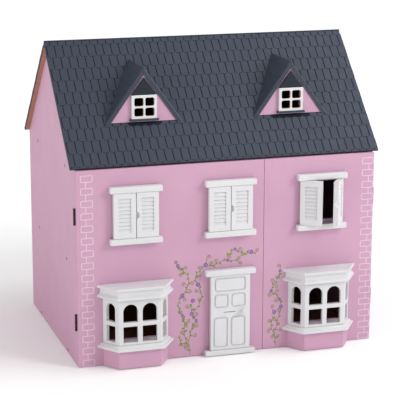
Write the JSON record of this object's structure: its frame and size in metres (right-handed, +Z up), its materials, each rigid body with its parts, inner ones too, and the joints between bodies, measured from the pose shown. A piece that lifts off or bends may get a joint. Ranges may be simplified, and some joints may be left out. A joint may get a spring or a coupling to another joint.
{
  "type": "wooden dollhouse",
  "caption": "Gabled wooden dollhouse whose front swings open in leaves and whose front roof lifts, with dormers, bay windows, louvred shutters and a panelled front door.",
  "frame": {"origin": "underside of the base board, below the ridge and midway between the side walls", "axes": "+Z up, -Y out of the front, +X to the right of a person who looks at the front"},
  "size_m": [0.62, 0.4785, 0.5985],
  "materials": {
    "pink_paint": "satin paint",
    "white_paint": "satin paint",
    "slate_paint": "satin paint",
    "bare_board": "bare fibreboard",
    "bronze": "dark patina"
  },
  "bodies": {
    "house": {"base_board": "bare_board", "left_side_wall": "pink_paint", "right_side_wall": "pink_paint", "back_wall": "pink_paint", "first_floor": "bare_board", "attic_floor": "bare_board", "ground_left_partition": "bare_board", "ground_right_partition": "bare_board", "upper_left_partition": "bare_board", "upper_right_partition": "bare_board", "rear_roof_panel": "slate_paint", "ridge_hinge_fixed_leaf": "slate_paint", "left_lower_hinge_fixed_leaf": "bronze", "left_upper_hinge_fixed_leaf": "bronze", "right_lower_hinge_fixed_leaf": "bronze", "right_upper_hinge_fixed_leaf": "bronze"},
    "roof_lid": {"front_roof_panel": "slate_paint", "ridge_hinge_moving_leaf": "slate_paint", "left_dormer_gable": "pink_paint", "left_dormer_left_slope": "slate_paint", "left_dormer_right_slope": "slate_paint", "left_dormer_window": "white_paint", "left_dormer_sill": "slate_paint", "left_dormer_pediment": "slate_paint", "right_dormer_gable": "pink_paint", "right_dormer_left_slope": "slate_paint", "right_dormer_right_slope": "slate_paint", "right_dormer_window": "white_paint", "right_dormer_sill": "slate_paint", "right_dormer_pediment": "slate_paint"},
    "left_front": {"left_front_leaf": "pink_paint", "left_lower_hinge_moving_leaf": "bronze", "left_upper_hinge_moving_leaf": "bronze", "left_bay_cornice": "white_paint", "left_bay_frame": "white_paint", "left_bay_sill": "white_paint", "left_bay_plinth": "pink_paint", "left_window_lintel": "white_paint", "left_window_sill": "white_paint", "middle_window_lintel": "white_paint", "middle_window_sill": "white_paint", "door_lintel": "white_paint", "door_step": "white_paint"},
    "right_front": {"right_front_leaf": "pink_paint", "right_lower_hinge_moving_leaf": "bronze", "right_upper_hinge_moving_leaf": "bronze", "right_bay_cornice": "white_paint", "right_bay_frame": "white_paint", "right_bay_sill": "white_paint", "right_bay_plinth": "pink_paint", "right_window_lintel": "white_paint", "right_window_sill": "white_paint"},
    "door": {"front_door": "white_paint", "door_knob": "white_paint"},
    "left_window_left_shutter": {"left_window_left_shutter": "white_paint"},
    "left_window_right_shutter": {"left_window_right_shutter": "white_paint"},
    "middle_window_left_shutter": {"middle_window_left_shutter": "white_paint"},
    "middle_window_right_shutter": {"middle_window_right_shutter": "white_paint"},
    "right_window_left_shutter": {"right_window_left_shutter": "white_paint"},
    "right_window_right_shutter": {"right_window_right_shutter": "white_paint"}
  },
  "joints": [
    {"name": "left_front_swing", "type": "hinge", "parent": "house", "child": "left_front", "pos_m": [-0.3024, -0.2087, 0.19], "axis": [0, 0, -1], "range_deg": [0, 180]},
    {"name": "right_front_swing", "type": "hinge", "parent": "house", "child": "right_front", "pos_m": [0.3024, -0.2087, 0.19], "axis": [0, 0, 1], "range_deg": [0, 180]},
    {"name": "roof_lift", "type": "hinge", "parent": "house", "child": "roof_lid", "pos_m": [0, 0, 0.5973], "axis": [-1, 0, 0], "range_deg": [0, 120]},
    {"name": "door_swing", "type": "hinge", "parent": "left_front", "child": "door", "pos_m": [-0.035, -0.2255, 0.087], "axis": [0, 0, -1], "range_deg": [0, 110]},
    {"name": "left_window_left_shutter_swing", "type": "hinge", "parent": "left_front", "child": "left_window_left_shutter", "pos_m": [-0.2265, -0.2255, 0.2947], "axis": [0, 0, -1], "range_deg": [0, 115]},
    {"name": "left_window_right_shutter_swing", "type": "hinge", "parent": "left_front", "child": "left_window_right_shutter", "pos_m": [-0.1485, -0.2255, 0.2947], "axis": [0, 0, 1], "range_deg": [0, 115]},
    {"name": "middle_window_left_shutter_swing", "type": "hinge", "parent": "left_front", "child": "middle_window_left_shutter", "pos_m": [-0.039, -0.2255, 0.2947], "axis": [0, 0, -1], "range_deg": [0, 115]},
    {"name": "middle_window_right_shutter_swing", "type": "hinge", "parent": "left_front", "child": "middle_window_right_shutter", "pos_m": [0.039, -0.2255, 0.2947], "axis": [0, 0, 1], "range_deg": [0, 115]},
    {"name": "right_window_left_shutter_swing", "type": "hinge", "parent": "right_front", "child": "right_window_left_shutter", "pos_m": [0.1485, -0.2255, 0.2947], "axis": [0, 0, -1], "range_deg": [-30, 85]},
    {"name": "right_window_right_shutter_swing", "type": "hinge", "parent": "right_front", "child": "right_window_right_shutter", "pos_m": [0.2265, -0.2255, 0.2947], "axis": [0, 0, 1], "range_deg": [-55, 60]}
  ]
}
